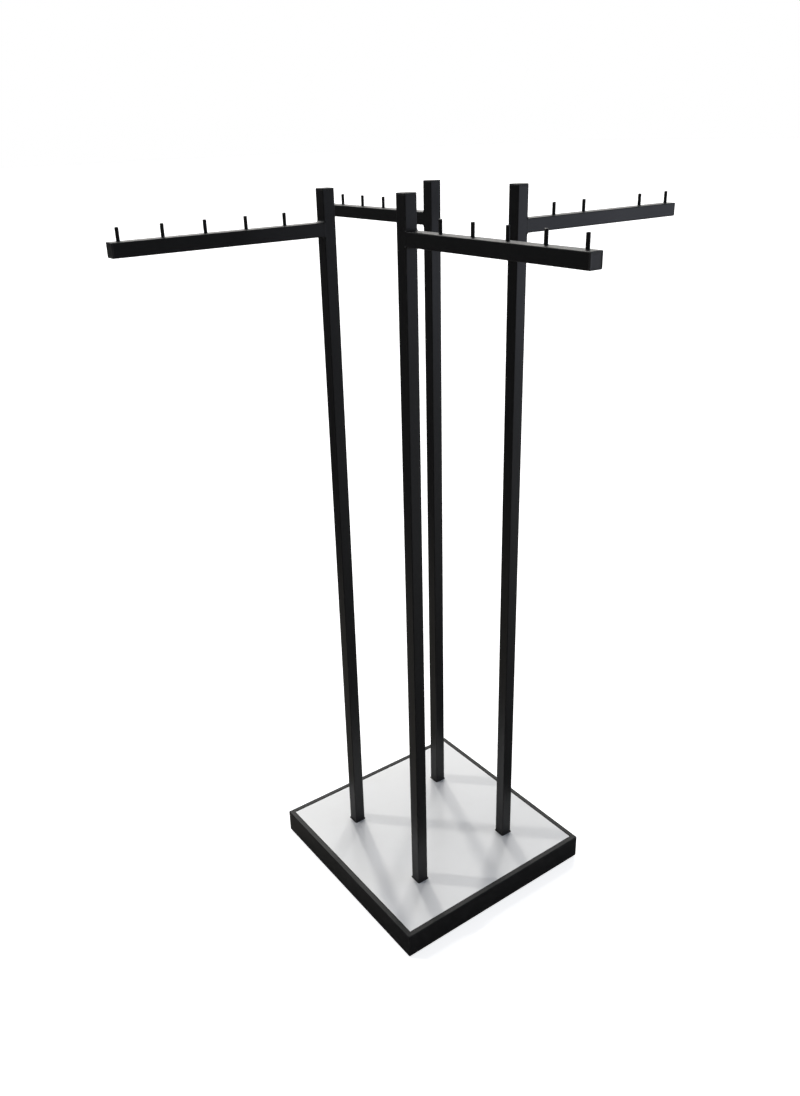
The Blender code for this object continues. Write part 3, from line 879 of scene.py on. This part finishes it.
def tall_window():
    """A cool upright softbox some way off to the right, facing the rack, which the camera doesn't see."""
    heading = math.radians(50)
    away = np.array([math.cos(heading), math.sin(heading), 0.0])
    across = np.cross([0, 0, 1], away)
    data = bpy.data.lights.new("tall_window", "AREA")
    data.shape = "RECTANGLE"
    data.size = 2.2
    data.size_y = 2.1
    data.energy = 21.5
    data.color = (0.82, 0.86, 1.0)
    light = bpy.data.objects.new("tall_window", data)
    bpy.context.scene.collection.objects.link(light)
    distance, middle_height = 4.0, 1.35
    turn = np.eye(4)
    turn[:3, 0], turn[:3, 1], turn[:3, 2] = across, [0, 0, 1], away
    turn[:3, 3] = distance * away + [0, 0, middle_height]
    light.matrix_world = Matrix(turn.tolist())
    light.visible_camera = False


def light_studio():
    """Three soft ceiling lamps, a tall window, and the light of the room round about.

    The room's light comes from the world: white to the camera, and to everything else a level that
    rises with height and sinks again overhead, with a bright far wall on the left, whose upper part is
    brightest.
    """
    warm, faintly_warm = (1.0, 0.98, 0.93), (1.0, 0.985, 0.95)
    lamp("lamp_left", 225.5, 50, 0.70, 2.5, warm)
    lamp("lamp_back", 161.5, 50, 0.67, 4, warm)
    lamp("lamp_back_right", 126, 54, 0.40, 5, faintly_warm)
    tall_window()
    world = bpy.data.worlds.new("studio")
    bpy.context.scene.world = world
    world.use_nodes = True
    room = Nodes(world.node_tree)
    toward = room.node("ShaderNodeTexCoord", {}, {}, output="Generated")
    height = room.node("ShaderNodeSeparateXYZ", {}, {0: toward}, output="Z")
    wall_way = {0: toward, 1: (-0.93, 0.37, 0.0)}
    far = room.node("ShaderNodeVectorMath", {"operation": "DOT_PRODUCT"}, wall_way, output="Value")
    inside = room.mixed(room.between(height, 0.05, 0.60), gray(0.05), gray(0.365, (0.93, 0.98, 1.08)))
    inside = room.mixed(room.between(height, 0.72, 0.90), inside, gray(0.245, (0.92, 0.98, 1.10)))
    dim_wall, bright_wall = gray(0.98, (1.0, 0.99, 0.96)), gray(4.3, faintly_warm)
    far_wall = room.mixed(room.between(height, 0.30, 0.50), dim_wall, bright_wall)
    lit = room.between(far, 0.66, 0.82) * room.between(height, 0.02, 0.10)
    lit = lit * room.between(height, 0.57, 0.70, 1.0, 0.0)
    inside = room.mixed(lit, inside, far_wall)
    seen = room.node("ShaderNodeLightPath", {}, {}, output="Is Camera Ray")
    background = world.node_tree.nodes["Background"]
    world.node_tree.links.new(room.mixed(seen, inside, gray(1.0)).socket, background.inputs["Color"])


def floor_sheet(name, level, constants):
    """A wide square of matt floor at a level, and its finish to be painted."""
    reach = 60.0
    corners = np.array([[-reach, -reach], [reach, -reach], [reach, reach], [-reach, reach]])
    mesh = bpy.data.meshes.new(name)
    mesh.from_pydata(np.column_stack([corners, np.full(4, level)]).tolist(), [], [[0, 1, 2, 3]])
    sheet = bpy.data.objects.new(name, mesh)
    bpy.context.scene.collection.objects.link(sheet)
    matt = Finish(name, {"Roughness": 0.9, "Specular IOR Level": 0.1, **constants})
    mesh.materials.append(matt.material)
    return sheet, matt


def lay_floor():
    """A pale floor out to the horizon, and another that only reflections see.

    The second is a dark sheet that paints what the reflections show, with painted pools of light: a pale
    patch beside the rack's left and a larger one by the window.
    """
    pale, matt = floor_sheet("pale_floor", 0.0, {"Emission Color": gray(1.0), "Emission Strength": 0.74})
    matt.paint(Base_Color=matt.mixed(matt.noise(2, 3.0), gray(0.80), gray(0.83)))
    pale.visible_glossy = False
    painted_reflection_floor, painted_reflection_finish = floor_sheet("floor_in_reflections", 0.4 * MM, {})

    def away_from(x, y):
        """Distance over the floor from a point on it."""
        sockets = {0: painted_reflection_finish.place, 1: (x, y, 0.0)}
        return painted_reflection_finish.node("ShaderNodeVectorMath", {"operation": "DISTANCE"}, sockets, output="Value")

    # Painted pools of light on the dark sheet, seen only in reflections: one beside the rack's left, a larger
    # one by the window.
    rack_pool_distance, window_pool_distance = away_from(-0.75, -0.55), away_from(2.1, 2.1)
    shade = painted_reflection_finish.mixed(painted_reflection_finish.between(rack_pool_distance, 0.5, 1.1), gray(0.25, (1.0, 0.96, 0.86)), gray(0.035))
    shade = painted_reflection_finish.mixed(painted_reflection_finish.between(window_pool_distance, 0.4, 3.0), gray(0.47, (0.97, 0.98, 1.0)), shade)
    painted_reflection_finish.paint(Base_Color=shade)
    painted_reflection_floor.visible_camera = False
    painted_reflection_floor.visible_diffuse = False
    painted_reflection_floor.visible_shadow = False


finish_kept_nodes()
build_rim()
build_rails()
build_rail_welds()
build_feet()
build_bolts_and_screws()
build_foot_seals()
build_uprights()
build_arms()
build_arm_welds()
build_pegs()
lay_floor()
light_studio()
place_camera()
bpy.context.scene.view_settings.view_transform = "Standard"
